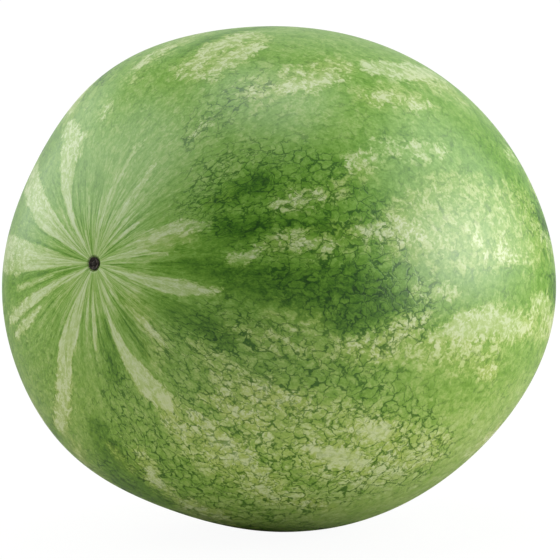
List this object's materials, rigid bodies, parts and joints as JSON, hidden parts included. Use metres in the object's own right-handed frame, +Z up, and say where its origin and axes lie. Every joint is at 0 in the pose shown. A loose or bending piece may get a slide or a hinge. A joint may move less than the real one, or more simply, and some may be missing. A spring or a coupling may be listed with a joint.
{
  "type": "watermelon",
  "caption": "Whole round-oval watermelon as picked, lying on its side on a small flat spot, with a dried flower scar at one end and a cut stem stub at the other.",
  "frame": {"origin": "on the surface that the fruit lies on, under the middle of the model's box", "axes": "+X from the flower end towards the stem end, whose end of the long axis leans 6 degrees down; +Z up"},
  "size_m": [0.3048, 0.2504, 0.2481],
  "materials": {
    "rind": "waxy satin rind, green with paler broken stripes",
    "dried_scar": "dry and rough, dark brown",
    "dried_stem": "dry and ridged, green going brown, pale at the cut"
  },
  "bodies": {
    "root": {"fruit": "rind", "flower_scar": "dried_scar", "stem_stub": "dried_stem"}
  },
  "joints": []
}
